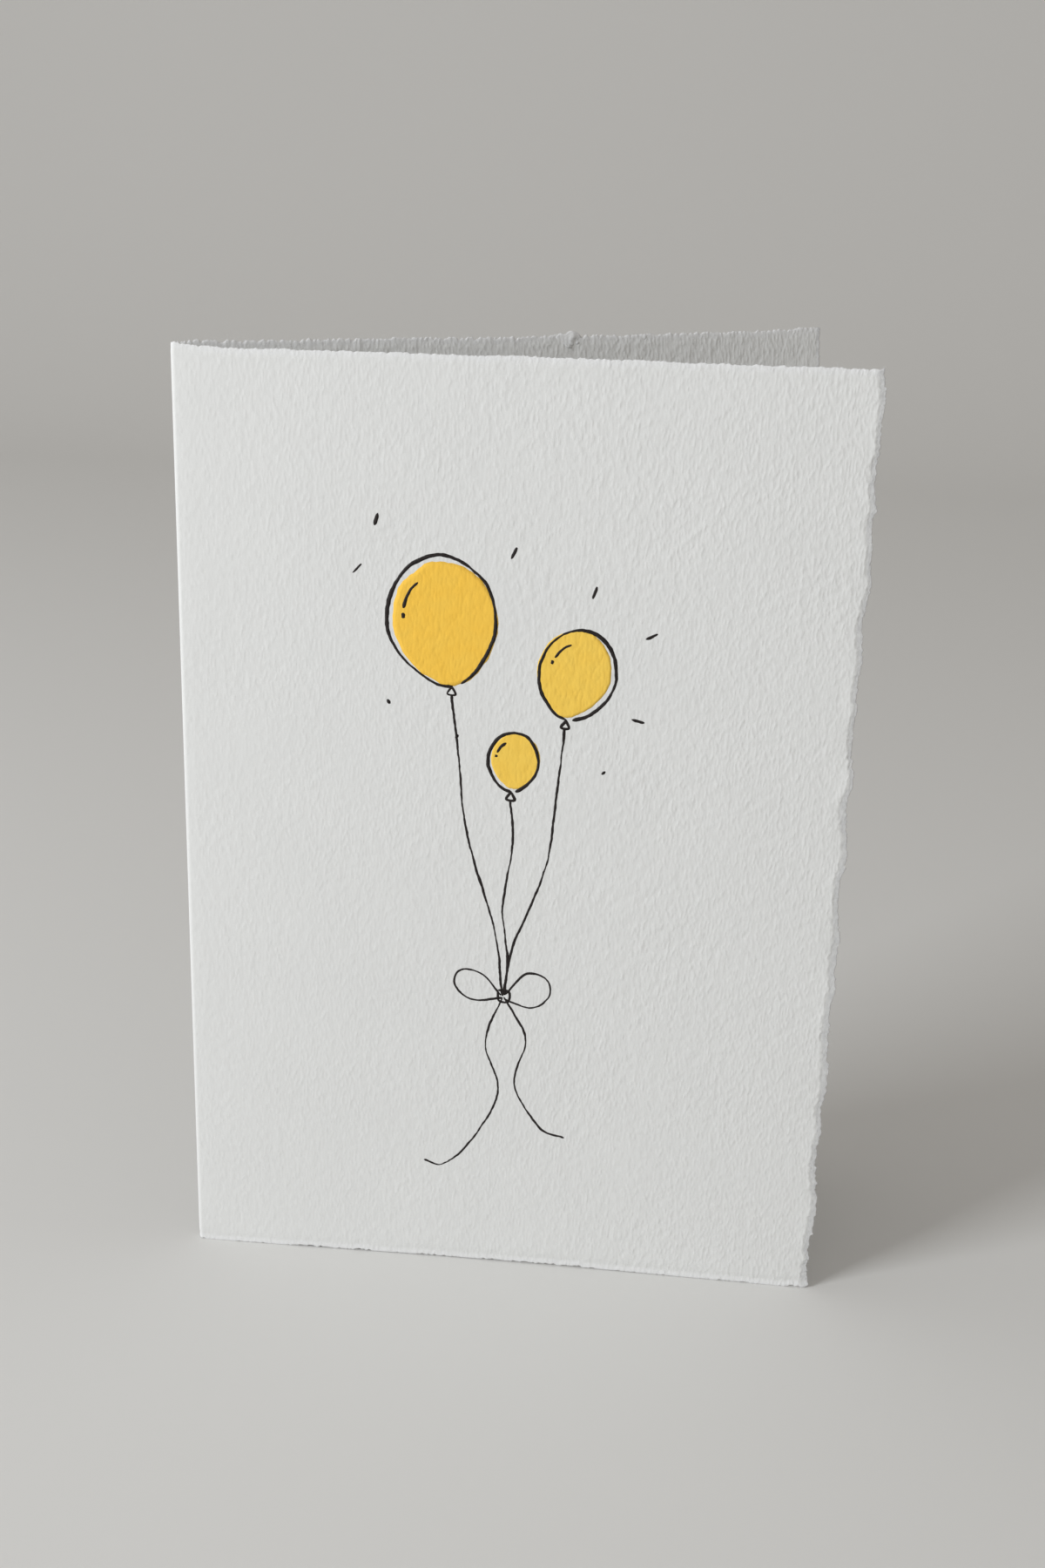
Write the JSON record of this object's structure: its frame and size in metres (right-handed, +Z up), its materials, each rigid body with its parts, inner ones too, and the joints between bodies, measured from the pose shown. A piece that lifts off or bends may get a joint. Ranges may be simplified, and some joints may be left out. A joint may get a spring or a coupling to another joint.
{
  "type": "greeting card",
  "caption": "Folded greeting card of heavy cotton paper, standing open in a narrow V, with deckled fore edges and torn top edges.",
  "frame": {"origin": "middle of the foot: centre of the overall box in X and Y, on the surface that the card stands on", "axes": "+Z up along the fold, +X from the fold towards the fore edge of the front leaf, +Y from the front leaf towards the back leaf"},
  "size_m": [0.106, 0.0414, 0.1553],
  "materials": {
    "rag_paper": "matt, cold-pressed"
  },
  "bodies": {
    "root": {"folded_sheet": "rag_paper"}
  },
  "joints": []
}
